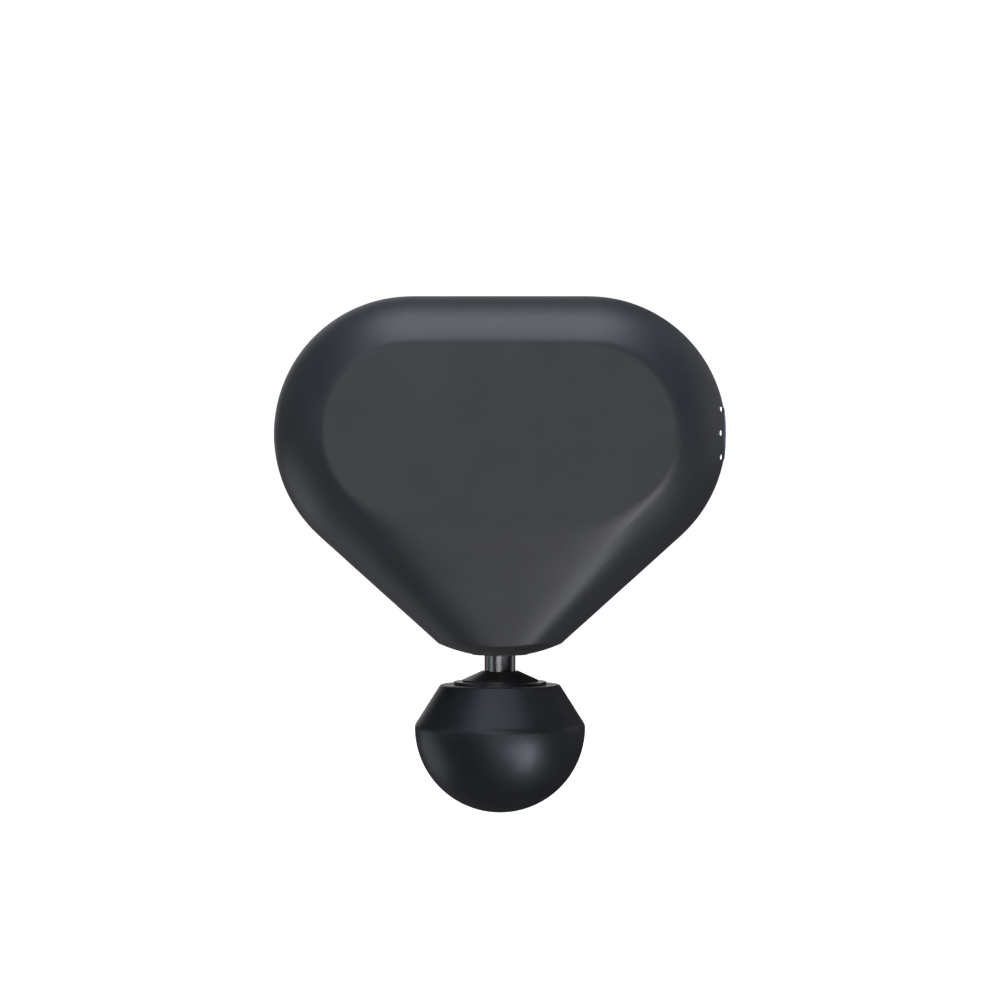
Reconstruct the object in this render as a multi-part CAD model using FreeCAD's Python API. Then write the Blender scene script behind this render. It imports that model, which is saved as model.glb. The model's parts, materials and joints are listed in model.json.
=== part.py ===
import FreeCAD, Part
import math
import os

os.makedirs("parts", exist_ok=True)

# Frame: millimetres. The origin lies on the stroke axis, in the parting plane, at the
# height of the two lobe centres. +Z points away from the ball, the front faces -Y.

# Housing outline and section
lobe_radius = 39.0
lobe_offset = 25.0
taper_angle = 48.0
tip_radius = 18.0
half_depth = 25.0
roll_margin = 3.3
roll_radius = half_depth + roll_margin
wall = 2.5
face_fall_angle = 13.5
face_bend_z = -26.0
nose_dome_radius = 42.0
nose_z = -63.0
nose_floor = 3.5
upper_blend = 0.8
lower_blend = 7.0
blend_start_z = -16.0
blend_height = 22.0
face_blend = 1.5
rim_margin = 2.2
nose_dome_share = 0.3

# Housing screws and bosses
boss_radius = 3.2
screw_radius = 1.1
screw_head_radius = 2.1
screw_head_height = 1.4
side_boss_x = 44.0
side_boss_z = 11.0
low_boss_x = 18.0
low_boss_z = -45.0
pilot_depth = 9.0
screw_recess = 0.25
boss_margin = 1.0
screw_hole_gap = 0.1
head_hole_gap = 0.2

# Motor and crank
motor_z = -10.0
stroke = 12.0
crank_radius = stroke / 2
bell_radius = 18.0
bell_wall = 1.2
bell_front_y = 7.0
bell_depth = 9.5
bell_floor = 1.5
bell_window_radius = 3.0
bell_window_count = 6
bell_window_share = 0.62
magnet_count = 14
magnet_thickness = 1.5
magnet_overhang = 0.5
magnet_gap_angle = 2.5
air_gap = 0.3
stator_teeth = 12
stator_thickness = 5.5
stator_setback = 0.8
stator_hub_wall = 2.4
tooth_half_width = 0.8
shoe_thickness = 1.4
shoe_gap_angle = 6.0
coil_half_width = 1.6
coil_overhang = 0.9
coil_clearance = 0.25
tube_radius = 6.0
flange_thickness = 0.9
bearing_lip = 0.7
spindle_radius = 2.0
bearing_radius = 4.0
bearing_width = 2.5
bearing_ball_count = 7
weight_radius = 16.0
weight_front_y = 3.6
weight_thickness = 3.0
pin_radius = 3.0
pin_shoulder = 0.8
pin_end = 1.2
clip_groove = 0.5
roller_radius = 6.5
roller_width = 5.0
roller_ball_count = 9

# Yoke, output shaft and guide
slot_slack = 1.5
yoke_thickness = 5.0
yoke_rim = 4.0
stem_width = 6.8
yoke_rounding = 3.0
slot_side_gap = 0.6
fork_depth = 8.0
cross_pin_radius = 1.25
cross_pin_inset = 0.6
shaft_radius = 4.37
shaft_top_z = -28.0
shaft_end_z = -89.0
shaft_chamfer = 0.8
detent_height = 5.0
detent_radius = 0.85
detent_groove = 1.0
detent_half_width = 0.95
running_gap = 0.04
guide_radius = 9.0
guide_top_z = -41.5
guide_end_z = -57.5
bush_radius = 6.4
bush_length = 6.5
collar_radius = 7.9
guide_clearance = 0.6
bush_recess = 0.5
seal_thickness = 0.8
seal_flange_width = 1.0
seal_flange_height = 0.5
seal_recess = 0.6

# Chassis
plate_y = 17.5
plate_thickness = 2.0
plate_half_width = 24.0
plate_top_z = 6.0
plate_bottom_z = -32.0
bridge_half_width = 12.0
bridge_back_y = 16.0
bridge_thickness = 3.0
web_thickness = 2.5
web_clearance = 1.0
ear_x = 31.0
ear_z = -10.0
ear_spread = 9.0
ear_radius = 4.0
pad_radius = 3.4
pad_thickness = 0.8

# Battery
cell_radius = 9.2
cell_length = 65.0
cell_spacing = 19.0
cell_z = 22.0
tray_bottom_z = 10.8
tray_foot = 3.0
tab_thickness = 0.3
tab_half_width = 3.5
link_drop = 1.5
tray_margin = 2.0
cell_nub_radius = 3.0
cell_nub_height = 1.0
cell_rounding = 0.6

# Boards and controls
board_half_width = 22.0
board_top_z = 8.0
board_bottom_z = -29.0
board_y = -14.6
board_thickness = 1.6
board_boss_radius = 2.2
pad_flat_depth = 0.56
pad_flat_x = lobe_offset + lobe_radius - pad_flat_depth
button_radius = 6.4
button_travel = 0.8
button_rounding = 0.3
plunger_radius = 1.2
plunger_slack = 0.2
tact_height = 1.9
tact_half_width = 2.6
tact_dome_radius = 1.5
tact_dome_height = 0.3
ring_inner_radius = 6.55
ring_outer_radius = 7.5
ring_hole_gap = 0.1
ring_recess = 0.15
ring_flange_width = 1.1
light_radius = 0.7
light_arc_radius = 11.0
light_spread_angle = 37.0
lens_recess = 0.1
button_stack = 8.44
button_board_x = pad_flat_x - button_stack
button_board_depth = 13.0
button_board_half_height = 9.0
charge_board_half_width = 4.5
rib_half_width = 4.0
vent_pitch = 1.58
vent_rows = 4
vent_columns = 6
vent_hole_radius = 0.4
screen_thickness = 0.8
screen_rim = 1.0
port_y = 8.0
port_z = -15.0
port_height = 9.0
port_width = 3.2
port_length = 7.5
port_recess = 0.8
port_hole_gap = 0.15
port_shell_wall = 0.3
port_back_gap = 0.1
port_back_thickness = 0.6
tongue_half_thickness = 0.35

# Attachment
hub_top_z = -67.0
ring_top_z = -70.0
ball_top_z = -70.85
hub_neck_wall = 0.83
hub_cone_radius = 10.7
hub_cone_height = 2.5
hub_ring_radius = 13.1
hub_stem_radius = 8.0
hub_stem_end_z = -92.0
ball_radius = 24.1
ball_centre_z = -82.9
ball_rim_radius = 16.9
ball_shoulder_radius = 23.7
ball_shoulder_z = -81.6
ball_top_rounding = 0.8
ball_shoulder_rounding = 3.0
fit_gap = 0.02
tiny = 0.01

# Wiring
battery_wire_radius = 0.6
motor_wire_radius = 0.45
button_wire_radius = 0.35
charge_wire_radius = 0.5
wire_lift = 3.0
motor_wire_pitch = 1.6
motor_wire_drop = 8.0
motor_wire_inset = 2.5
window_inset = 4.0
window_low = 10.0
window_high = 3.0
window_reach = 4.5
button_wire_pitch = 0.8
button_wire_y = -8.0
button_wire_z = -3.0
button_wire_drop = 8.0
button_wire_clearance = 2.0
charge_wire_pitch = 1.6
charge_wire_drop = 3.2
charge_wire_run = 12.0
battery_wire_pitch = 3.0
battery_wire_z = -4.0
battery_wire_bend = 2.5

RIGHT = FreeCAD.Vector(1, 0, 0)
BACK = FreeCAD.Vector(0, 1, 0)
UP = FreeCAD.Vector(0, 0, 1)
ORIGIN = FreeCAD.Vector(0, 0, 0)


def point(x, y, z):
    return FreeCAD.Vector(x, y, z)


def save(node, shape):
    shape.exportStep("parts/" + node + ".step")


def rod(radius, length, base, axis):
    return Part.makeCylinder(radius, length, base, axis)


def ring(outer, inner, length, base, axis):
    return rod(outer, length, base, axis).cut(rod(inner, length, base, axis))


def block(low, high):
    size = high - low
    return Part.makeBox(size.x, size.y, size.z, low)


def polar(radius, degrees):
    turn = math.radians(degrees)
    return radius * math.cos(turn), radius * math.sin(turn)


def spin_copies(shape, count, centre, axis):
    copies = []
    for index in range(count):
        copy = shape.copy()
        copy.rotate(centre, axis, 360.0 * index / count)
        copies.append(copy)
    return copies


def revolved(points):
    """A solid of revolution about the stroke axis from (radius, height) pairs."""
    corners = [point(radius, 0, height) for radius, height in points]
    outline = Part.makePolygon(corners + [corners[0]])
    return Part.Face(outline).revolve(ORIGIN, UP, 360)


def cable(points, radius, bend):
    """A round wire whose straight runs are joined by arcs of the bend radius."""
    edges = []
    start = points[0]
    for before, corner, after in zip(points, points[1:], points[2:]):
        arriving = (corner - before).normalize()
        leaving = (after - corner).normalize()
        half_turn = arriving.getAngle(leaving) / 2
        setback = bend * math.tan(half_turn)
        arc_start = corner - arriving * setback
        arc_end = corner + leaving * setback
        inward = (leaving - arriving).normalize()
        middle = corner + inward * (bend / math.cos(half_turn) - bend)
        edges.append(Part.makeLine(start, arc_start))
        edges.append(Part.Arc(arc_start, middle, arc_end).toShape())
        start = arc_end
    edges.append(Part.makeLine(start, points[-1]))
    direction = (points[1] - points[0]).normalize()
    section = Part.Wire(Part.makeCircle(radius, points[0], direction))
    return Part.Wire(edges).makePipeShell([section], True, True)


# ---- Housing surface ------------------------------------------------------------------

taper_cos = math.cos(math.radians(taper_angle))
taper_sin = math.sin(math.radians(taper_angle))
tip_z = (tip_radius - lobe_radius - lobe_offset * taper_cos) / taper_sin


def distance_to_edge(x, z):
    """How far a point of the parting plane lies inside the outline."""
    across = abs(x) - lobe_offset
    slant = across * taper_cos - z * taper_sin
    along = across * taper_sin + z * taper_cos
    if abs(x) * taper_sin + (z - tip_z) * taper_cos < 0:
        return tip_radius - math.hypot(x, z - tip_z)
    if across >= 0 and along >= 0:
        return lobe_radius - math.hypot(across, z)
    return lobe_radius - max(z, slant)


def soft_min(first, second, blend):
    closeness = max(blend - abs(first - second), 0) / blend
    return min(first, second) - closeness ** 3 * blend / 6


def smooth_step(value):
    share = min(max(value, 0), 1)
    return share * share * (3 - 2 * share)


def crease_distance(inset):
    radius = roll_radius - inset
    depth = half_depth - inset
    return radius - math.sqrt(radius ** 2 - depth ** 2)


def surface_depth(x, z, inset):
    """Depth of the skin in front of the parting plane, moved inwards by the inset."""
    radius = roll_radius - inset
    depth = half_depth - inset
    crease = crease_distance(inset)
    distance = max(distance_to_edge(x, z) - inset, 0)
    if distance < crease:
        rolled = math.sqrt(radius ** 2 - (radius - distance) ** 2)
    else:
        rolled = depth + (distance - crease) * (radius - crease) / depth
    fall = (z - face_bend_z) * math.tan(math.radians(face_fall_angle))
    flat = soft_min(depth, depth + fall, face_blend)
    share = smooth_step((blend_start_z - z) / blend_height)
    blend = upper_blend + (lower_blend - upper_blend) * share
    return soft_min(rolled, flat, blend)


def stations(rim_radius):
    """Half of the outline from the lowest point to the top, as arc centres and angles."""
    tip_steps, side_steps, lobe_steps, top_steps = 6, 20, 34, 12
    low_path = lobe_offset + rim_radius * math.radians(90 - taper_angle)
    tip_share = 0.12

    def low_rim(share):
        travel = share * low_path
        if travel < lobe_offset:
            return travel, -rim_radius
        turn = -math.pi / 2 + (travel - lobe_offset) / rim_radius
        return lobe_offset + rim_radius * math.cos(turn), rim_radius * math.sin(turn)

    found = []
    for step in range(tip_steps):
        share = step / tip_steps
        angle = -90 + (90 - taper_angle) * share
        found.append((0, tip_z, tip_radius, angle, low_rim(tip_share * share)))
    for step in range(side_steps):
        share = step / side_steps
        x = lobe_offset * share
        z = tip_z * (1 - share)
        radius = tip_radius + (lobe_radius - tip_radius) * share
        rim = low_rim(tip_share + (1 - tip_share) * share)
        found.append((x, z, radius, -taper_angle, rim))
    for step in range(lobe_steps):
        angle = -taper_angle + (90 + taper_angle) * step / lobe_steps
        x, z = polar(rim_radius, angle)
        found.append((lobe_offset, 0, lobe_radius, angle, (lobe_offset + x, z)))
    for step in range(top_steps + 1):
        x = lobe_offset * (1 - step / top_steps)
        found.append((x, 0, lobe_radius, 90, (x, rim_radius)))
    return found


def pole_row(station, side, inset):
    """Surface poles from the parting plane over the rolled edge to the panel rim."""
    roll_steps, blend_steps = 9, 14
    x, z, radius, angle, rim = station
    roll = roll_radius - inset
    depth = half_depth - inset
    roll_share = 0.86
    last_distance = roll_share * crease_distance(inset)
    last_turn = math.acos(1 - last_distance / roll)

    def inside(distance):
        across, height = polar(radius - inset - distance, angle)
        return x + across, z + height

    # The skin starts one step behind the parting plane, where its edge is trimmed off.
    # Its second pole sits a third of a step along, as a clamped cubic edge needs.
    shares = [-1, -2 / 3] + list(range(roll_steps))
    turns = [last_turn * share / roll_steps for share in shares]
    spots = [inside(roll * (1 - math.cos(turn))) for turn in turns]
    start_x, start_z = inside(last_distance)
    for step in range(blend_steps + 1):
        share = step / blend_steps
        spots.append((start_x + (rim[0] - start_x) * share, start_z + (rim[1] - start_z) * share))
    depths = [roll * math.sin(turn) for turn in turns[:3]]
    depths += [surface_depth(spot_x, spot_z, inset) for spot_x, spot_z in spots[3:]]
    depths[-1] = depth
    return [point(side * a, -b, c) for (a, c), b in zip(spots, depths)]


def housing_half(inset):
    """The front half of the housing as a full solid, moved inwards by the inset."""
    rim_radius = lobe_radius - inset - crease_distance(inset) - rim_margin
    half = stations(rim_radius)
    rows = [pole_row(station, 1, inset) for station in half]
    rows += [pole_row(station, -1, inset) for station in half[-2:0:-1]]
    degree = 3
    spans = len(rows[0]) - degree
    around = list(range(len(rows) + 1))
    across = list(range(spans + 1))
    across_mults = [degree + 1] + [1] * (spans - 1) + [degree + 1]
    skin = Part.BSplineSurface()
    skin.buildFromPolesMultsKnots(
        rows, [1] * len(around), across_mults, around, across, True, False, degree, degree
    )
    skin_face = skin.toShape()
    closed = [edge for edge in skin_face.Edges if edge.isClosed()]
    closed.sort(key=lambda edge: edge.BoundBox.YMin)
    caps = [Part.Face(Part.Wire(edge)) for edge in (closed[0], closed[-1])]
    shell = Part.makeShell([skin_face] + caps)
    shell.sewShape()
    return Part.Solid(shell)


def front_space():
    width = lobe_radius * 3
    return block(point(-width, -half_depth * 2, -width), point(width, 0, width))


# ---- Housing shells -------------------------------------------------------------------


def below_nose():
    """Everything under the shallow dome that closes the nose."""
    width = lobe_radius * 2
    top_z = nose_z + nose_dome_radius * nose_dome_share
    space = block(point(-width, -width, nose_z - width), point(width, width, top_z))
    centre = point(0, 0, nose_z + nose_dome_radius)
    return space.cut(Part.makeSphere(nose_dome_radius, centre))


def outer_half():
    body = housing_half(0).cut(below_nose()).common(front_space())
    flat = pad_flat_x
    off = block(point(flat, -half_depth, -lobe_radius), point(flat + wall, half_depth, lobe_radius))
    return body.cut(off)


def inner_half():
    width = lobe_radius * 2
    keep = block(point(-width, -width, nose_z + nose_floor), point(width, 0, width))
    return housing_half(wall).common(keep)


def boss_spots():
    spots = []
    for side in (-1, 1):
        spots.append((side * side_boss_x, side_boss_z))
        spots.append((side * side_boss_x, -side_boss_z))
        spots.append((side * low_boss_x, low_boss_z))
    return spots


def vent_holes():
    holes = []
    for row in range(vent_rows):
        for column in range(vent_columns):
            z = (row - (vent_rows - 1) / 2) * vent_pitch
            y = (column - (vent_columns - 1) / 2) * vent_pitch
            base = point(-lobe_offset - lobe_radius - 1, y, z)
            holes.append(rod(vent_hole_radius, 3 * wall, base, RIGHT))
    return Part.makeCompound(holes)


def light_spots():
    spots = []
    for turn in (-light_spread_angle, 0, light_spread_angle):
        y, z = polar(light_arc_radius, 180 + turn)
        spots.append((y, z))
    return spots


def light_rods(radius, start_x, end_x):
    rods = []
    for y, z in light_spots():
        rods.append(rod(radius, end_x - start_x, point(start_x, y, z), RIGHT))
    return rods


def shell_openings():
    """Holes that cross the parting plane or the walls of either shell."""
    low = point(0, 0, nose_z - wall)
    collar = rod(collar_radius, nose_floor + 2 * wall, low, UP)
    pad = rod(ring_outer_radius + ring_hole_gap, 3 * wall, point(pad_flat_x - 2 * wall, 0, 0), RIGHT)
    lights = light_rods(light_radius + fit_gap, button_board_x, pad_flat_x)
    return [collar, pad, vent_holes()] + lights


def board_boss_spots():
    x = board_half_width - board_boss_radius - boss_margin
    z_high = board_top_z - board_boss_radius - boss_margin
    z_low = board_bottom_z + board_boss_radius + boss_margin
    return [(side * x, z) for side in (-1, 1) for z in (z_low, z_high)]


def front_shell(outer, inner):
    space = inner
    for x, z in boss_spots():
        space = space.cut(rod(boss_radius, half_depth, point(x, -half_depth, z), BACK))
    for x, z in board_boss_spots():
        length = half_depth + board_y
        space = space.cut(rod(board_boss_radius, length, point(x, -half_depth, z), BACK))
    rib = block(
        point(button_board_x - board_thickness, -half_depth, -rib_half_width),
        point(button_board_x, -button_board_depth, rib_half_width),
    )
    shell = outer.cut(space.cut(rib))
    for x, z in boss_spots():
        base = point(x, -pilot_depth, z)
        shell = shell.cut(rod(screw_radius + fit_gap, pilot_depth, base, BACK))
    for x, z in board_boss_spots():
        base = point(x, board_y - 2 * wall, z)
        shell = shell.cut(rod(screw_radius + fit_gap, 2 * wall, base, BACK))
    for hole in shell_openings():
        shell = shell.cut(hole)
    return shell


def chassis_ears():
    spots = []
    for side in (-1, 1):
        for up in (-1, 1):
            spots.append((side * ear_x, ear_z + up * ear_spread))
    return spots


def rear_shell(outer, inner):
    outer = outer.mirror(ORIGIN, BACK)
    space = inner.mirror(ORIGIN, BACK)
    ear_end = plate_y + plate_thickness + pad_thickness
    for x, z in boss_spots():
        space = space.cut(rod(boss_radius, half_depth, point(x, 0, z), BACK))
    for x, z in chassis_ears():
        space = space.cut(rod(pad_radius, half_depth - ear_end, point(x, ear_end, z), BACK))
    rib = block(
        point(charge_board_x(), port_y + charge_board_half_width, port_z - rib_half_width),
        point(charge_board_x() + board_thickness, half_depth, port_z + rib_half_width),
    )
    shell = outer.cut(space.cut(rib))
    for x, z in chassis_ears():
        depth = half_depth - wall / 2 - ear_end
        shell = shell.cut(rod(screw_radius + fit_gap, depth, point(x, ear_end, z), BACK))
    for x, z in boss_spots():
        shank_hole = rod(screw_radius + screw_hole_gap, half_depth, point(x, 0, z), BACK)
        head_base = point(x, wall * 2, z)
        head_hole = rod(screw_head_radius + head_hole_gap, half_depth, head_base, BACK)
        shell = shell.cut(shank_hole).cut(head_hole)
    for hole in shell_openings():
        shell = shell.cut(hole)
    return shell.cut(port_slot(port_hole_gap))


def housing_screws():
    screws = []
    for x, z in boss_spots():
        screws.append(screw(point(x, wall * 2, z), wall * 2 + pilot_depth - 1, -BACK))
    return screws


def screw(seat, length, forward):
    """A pan-head screw with its head on the seat, its shank forward and a cross recess."""
    head = rod(screw_head_radius, screw_head_height, seat, -forward)
    shank = rod(screw_radius, length, seat, forward)
    top = seat - forward * screw_head_height
    reach = screw_head_radius * 0.6
    slot = screw_recess
    wide = block(top - point(reach, 2 * slot, slot), top + point(reach, 2 * slot, slot))
    tall = block(top - point(slot, 2 * slot, reach), top + point(slot, 2 * slot, reach))
    return head.fuse(shank).cut(wide).cut(tall)


# ---- Nose -----------------------------------------------------------------------------


def nose_collar():
    floor_z = nose_z + nose_floor
    bore = shaft_radius + seal_thickness
    low_z = nose_z + wall / 4
    body = rod(collar_radius - fit_gap, floor_z - low_z, point(0, 0, low_z), UP)
    flange = rod(collar_radius + wall, wall / 2, point(0, 0, floor_z), UP)
    return body.fuse(flange).cut(rod(bore, nose_floor * 3, point(0, 0, nose_z - wall), UP))


def wiper_seal():
    low_z = nose_z + wall / 4 + seal_recess
    bore = shaft_radius + running_gap
    flange_z = nose_z + nose_floor + wall / 2
    outer = shaft_radius + seal_thickness - fit_gap
    lip = rod(outer, flange_z - low_z, point(0, 0, low_z), UP)
    flange = rod(outer + seal_flange_width, seal_flange_height, point(0, 0, flange_z), UP)
    return lip.fuse(flange).cut(rod(bore, 3 * nose_floor, point(0, 0, nose_z), UP))


# ---- Controls, lights and charging port ----------------------------------------------


def light_ring():
    length = 2 * wall
    base = point(pad_flat_x - ring_recess - length, 0, 0)
    flange_radius = ring_outer_radius + ring_flange_width
    roll = roll_radius - wall
    flange_x = lobe_offset + lobe_radius - wall - roll + math.sqrt(roll ** 2 - flange_radius ** 2)
    body = rod(ring_outer_radius, length, base, RIGHT)
    flange = rod(flange_radius, flange_x - fit_gap - base.x, base, RIGHT)
    return body.fuse(flange).cut(rod(ring_inner_radius, 2 * length, base - RIGHT, RIGHT))


def power_button():
    base = point(pad_flat_x - wall, 0, 0)
    cap = rod(button_radius, wall, base, RIGHT)
    rim = [edge for edge in cap.Edges if edge.BoundBox.XMin > pad_flat_x - tiny]
    return cap.makeFillet(button_rounding, rim)


def switch_plunger():
    reach = pad_flat_x - wall - button_board_x - tact_height
    length = reach - button_travel - plunger_slack
    return rod(plunger_radius, length, point(pad_flat_x - wall - length, 0, 0), RIGHT)


def tact_switch():
    half = tact_half_width
    low = point(button_board_x, -half, -half)
    body_end_x = button_board_x + tact_height - tact_dome_height
    body = block(low, point(body_end_x, half, half))
    return body.fuse(rod(tact_dome_radius, tact_height, point(button_board_x, 0, 0), RIGHT))


def button_board():
    half = button_board_half_height
    low = point(button_board_x - board_thickness, -button_board_depth, -half)
    return block(low, point(button_board_x, half, half))


def light_lenses():
    lenses = []
    for y, z in light_spots():
        inward = roll_radius - math.sqrt(roll_radius ** 2 - y ** 2)
        reach = lobe_radius - inward
        end_x = lobe_offset + math.sqrt(reach ** 2 - z ** 2) - lens_recess
        lens = rod(light_radius, end_x - button_board_x, point(button_board_x, y, z), RIGHT)
        lenses.append(lens)
    return lenses


def vent_screen():
    width = vent_columns * vent_pitch / 2
    height = vent_rows * vent_pitch / 2
    roll = roll_radius - wall
    reach = lobe_radius - wall - roll + math.sqrt(roll ** 2 - width ** 2)
    x = fit_gap - lobe_offset - math.sqrt(reach ** 2 - height ** 2)
    frame = block(point(x, -width, -height), point(x + screen_thickness, width, height))
    slots = []
    for row in range(vent_rows):
        z = (row - (vent_rows - 1) / 2) * vent_pitch
        low = point(x - screen_thickness, screen_rim - width, z - vent_hole_radius)
        high = point(x + 2 * screen_thickness, width - screen_rim, z + vent_hole_radius)
        slots.append(block(low, high))
    return frame.cut(Part.makeCompound(slots))


def port_x():
    reach = lobe_radius - roll_radius + math.sqrt(roll_radius ** 2 - port_y ** 2)
    return -lobe_offset - math.sqrt(reach ** 2 - port_z ** 2)


def port_slot(extra):
    """A rounded slot along X at the charging port, grown by extra on every side."""
    radius = port_width / 2 + extra
    half = port_height / 2 - port_width / 2
    start = point(port_x() - wall, port_y, port_z)
    length = port_length + 2 * wall
    ends = [rod(radius, length, start + UP * side * half, RIGHT) for side in (-1, 1)]
    low = start + point(0, -radius, -half)
    middle = block(low, start + point(length, radius, half))
    return ends[0].fuse(ends[1]).fuse(middle)


def charge_port():
    start_x = port_x() + port_recess
    trim = block(point(start_x, -half_depth, -lobe_radius), point(0, half_depth, lobe_radius))
    shell = port_slot(0).cut(port_slot(-port_shell_wall)).common(trim)
    back = block(
        point(start_x + port_length - port_back_thickness, port_y - port_width, port_z - port_height),
        point(start_x + port_length, port_y + port_width, port_z + port_height),
    ).common(port_slot(-port_back_gap))
    cut_end = start_x + port_length
    end = block(point(cut_end, -half_depth, -lobe_radius), point(0, half_depth, lobe_radius))
    return shell.fuse(back).cut(end)


def charge_tongue():
    start_x = port_x() + 2 * port_recess
    low = point(start_x, port_y - tongue_half_thickness, port_z - port_height / 3)
    end_x = charge_board_x() - port_back_thickness
    high = point(end_x, port_y + tongue_half_thickness, port_z + port_height / 3)
    return block(low, high)


def charge_board():
    half = charge_board_half_width
    low = point(charge_board_x(), port_y - half, port_z - half)
    high = point(charge_board_x() + board_thickness, port_y + half, port_z + half)
    return block(low, high)


def charge_board_x():
    return port_x() + port_recess + port_length


# ---- Motor ----------------------------------------------------------------------------


def on_motor(y):
    return point(0, y, motor_z)


def stator_radius():
    return bell_radius - bell_wall - magnet_thickness - air_gap


def stator_y():
    return bell_front_y + (bell_depth - stator_thickness) / 2 + stator_setback


def rotor_bell():
    cup = rod(bell_radius, bell_depth, on_motor(bell_front_y), BACK)
    hollow_y = bell_front_y + bell_floor
    cup = cup.cut(rod(bell_radius - bell_wall, bell_depth, on_motor(hollow_y), BACK))
    cup = cup.cut(rod(spindle_radius + fit_gap, 2 * bell_depth, on_motor(0), BACK))
    window_base = on_motor(bell_front_y - bell_floor) + RIGHT * bell_radius * bell_window_share
    window = rod(bell_window_radius, 3 * bell_floor, window_base, BACK)
    windows = spin_copies(window, bell_window_count, on_motor(0), BACK)
    return cup.cut(Part.makeCompound(windows))


def magnets():
    outer = bell_radius - bell_wall - fit_gap
    length = stator_thickness + 2 * magnet_overhang
    base = on_motor(stator_y() - magnet_overhang)
    band = ring(outer, outer - magnet_thickness, length, base, BACK)
    pieces = []
    arc = 360.0 / magnet_count
    for index in range(magnet_count):
        wedge = Part.makeCylinder(outer + 1, length, base, BACK, arc - magnet_gap_angle)
        wedge.rotate(on_motor(0), BACK, index * arc)
        pieces.append(band.common(wedge))
    return pieces


def stator_core():
    outer = stator_radius()
    base = on_motor(stator_y())
    hub_radius = tube_radius + stator_hub_wall
    core = ring(hub_radius, tube_radius + fit_gap, stator_thickness, base, BACK)
    tooth = block(
        base + point(tube_radius + stator_hub_wall / 2, 0, -tooth_half_width),
        base + point(outer - shoe_thickness / 2, stator_thickness, tooth_half_width),
    )
    shoes = ring(outer, outer - shoe_thickness, stator_thickness, base, BACK)
    arc = 360.0 / stator_teeth - shoe_gap_angle
    shoe = Part.makeCylinder(outer + 1, stator_thickness, base, BACK, arc)
    shoe.rotate(base, BACK, -arc / 2)
    arm = tooth.fuse(shoes.common(shoe))
    for copy in spin_copies(arm, stator_teeth, base, BACK):
        core = core.fuse(copy)
    return core.removeSplitter()


def windings():
    outer = stator_radius()
    base = on_motor(stator_y())
    start = tube_radius + stator_hub_wall + coil_clearance
    end = outer - shoe_thickness - coil_clearance
    low = base + point(start, -coil_overhang, -coil_half_width)
    coil = block(low, base + point(end, stator_thickness + coil_overhang, coil_half_width))
    tooth_low = base + point(0, 0, -tooth_half_width)
    tooth_space = block(tooth_low, base + point(outer, stator_thickness, tooth_half_width))
    coil = coil.cut(tooth_space)
    return spin_copies(coil, stator_teeth, base, BACK)


def motor_mount():
    start_y = stator_y() - magnet_overhang
    tube = rod(tube_radius, plate_y - start_y, on_motor(start_y), BACK)
    flange_y = plate_y - flange_thickness
    flange = rod(tube_radius * 2, flange_thickness, on_motor(flange_y), BACK)
    seat = rod(bearing_radius, plate_y, on_motor(start_y), BACK)
    mount = tube.fuse(flange).cut(seat)
    for spot in motor_screw_spots():
        mount = mount.cut(rod(screw_radius + fit_gap, plate_thickness, spot - BACK, BACK))
    middle = bearing_ys()[0] + bearing_width
    land_length = bearing_ys()[1] - middle
    land_radius = bearing_radius - bearing_lip
    land = ring(bearing_radius + 1, land_radius, land_length, on_motor(middle), BACK)
    return mount.fuse(land)


def bearing_ys():
    front = stator_y() - 0.3
    rear = plate_y - 0.2 - bearing_width
    return [front, rear]


def motor_screw_spots():
    spots = []
    for index in range(4):
        x, z = polar(tube_radius * 2 - screw_head_radius, 45 + 90 * index)
        spots.append(point(x, plate_y - flange_thickness, motor_z + z))
    return spots


def bearing_races(start, outer, inner, width, balls):
    """Outer ring, inner ring and ball set of a deep-groove bearing along +Y."""
    middle = (outer + inner) / 2
    ball = (outer - inner) * 0.27
    centre = start + BACK * (width / 2)
    groove = Part.makeTorus(middle, ball + 0.03, centre, BACK)
    outer_ring = ring(outer, middle + ball * 0.55, width, start, BACK).cut(groove)
    inner_ring = ring(middle - ball * 0.55, inner, width, start, BACK).cut(groove)
    sphere = Part.makeSphere(ball, centre + RIGHT * middle)
    cage = ring(middle + ball * 0.3, middle - ball * 0.3, ball * 0.8, centre - BACK * ball * 0.4, BACK)
    ball_set = cage
    for copy in spin_copies(sphere, balls, centre, BACK):
        ball_set = ball_set.fuse(copy)
    return outer_ring, inner_ring, ball_set


def motor_spindle():
    start = weight_front_y + 0.1
    end = plate_y + plate_thickness - 0.5
    return rod(spindle_radius, end - start, on_motor(start), BACK)


def counterweight():
    base = on_motor(weight_front_y)
    heavy = rod(weight_radius, weight_thickness, base, BACK)
    upper = block(
        base + point(-weight_radius, -1, 1.0),
        base + point(weight_radius, weight_thickness + 1, weight_radius),
    )
    arm = rod(crank_radius + pin_radius, weight_thickness, base, BACK)
    weight = heavy.cut(upper).fuse(arm)
    weight = weight.cut(rod(spindle_radius + fit_gap, 3 * weight_thickness, on_motor(0), BACK))
    pin_base = on_motor(0) + UP * crank_radius
    return weight.cut(rod(pin_radius + fit_gap, 3 * weight_thickness, pin_base, BACK))


def crank_pin():
    start = -roller_width / 2 - pin_end
    base = on_motor(start) + UP * crank_radius
    end = weight_front_y + weight_thickness
    pin = rod(pin_radius, end - start, base, BACK)
    groove = ring(pin_radius + 1, pin_radius - clip_groove, 0.6, base + BACK * clip_groove, BACK)
    shoulder_y = roller_width / 2
    shoulder_base = on_motor(shoulder_y) + UP * crank_radius
    shoulder = rod(pin_radius + pin_shoulder, weight_front_y - shoulder_y, shoulder_base, BACK)
    return pin.cut(groove).fuse(shoulder)


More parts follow.
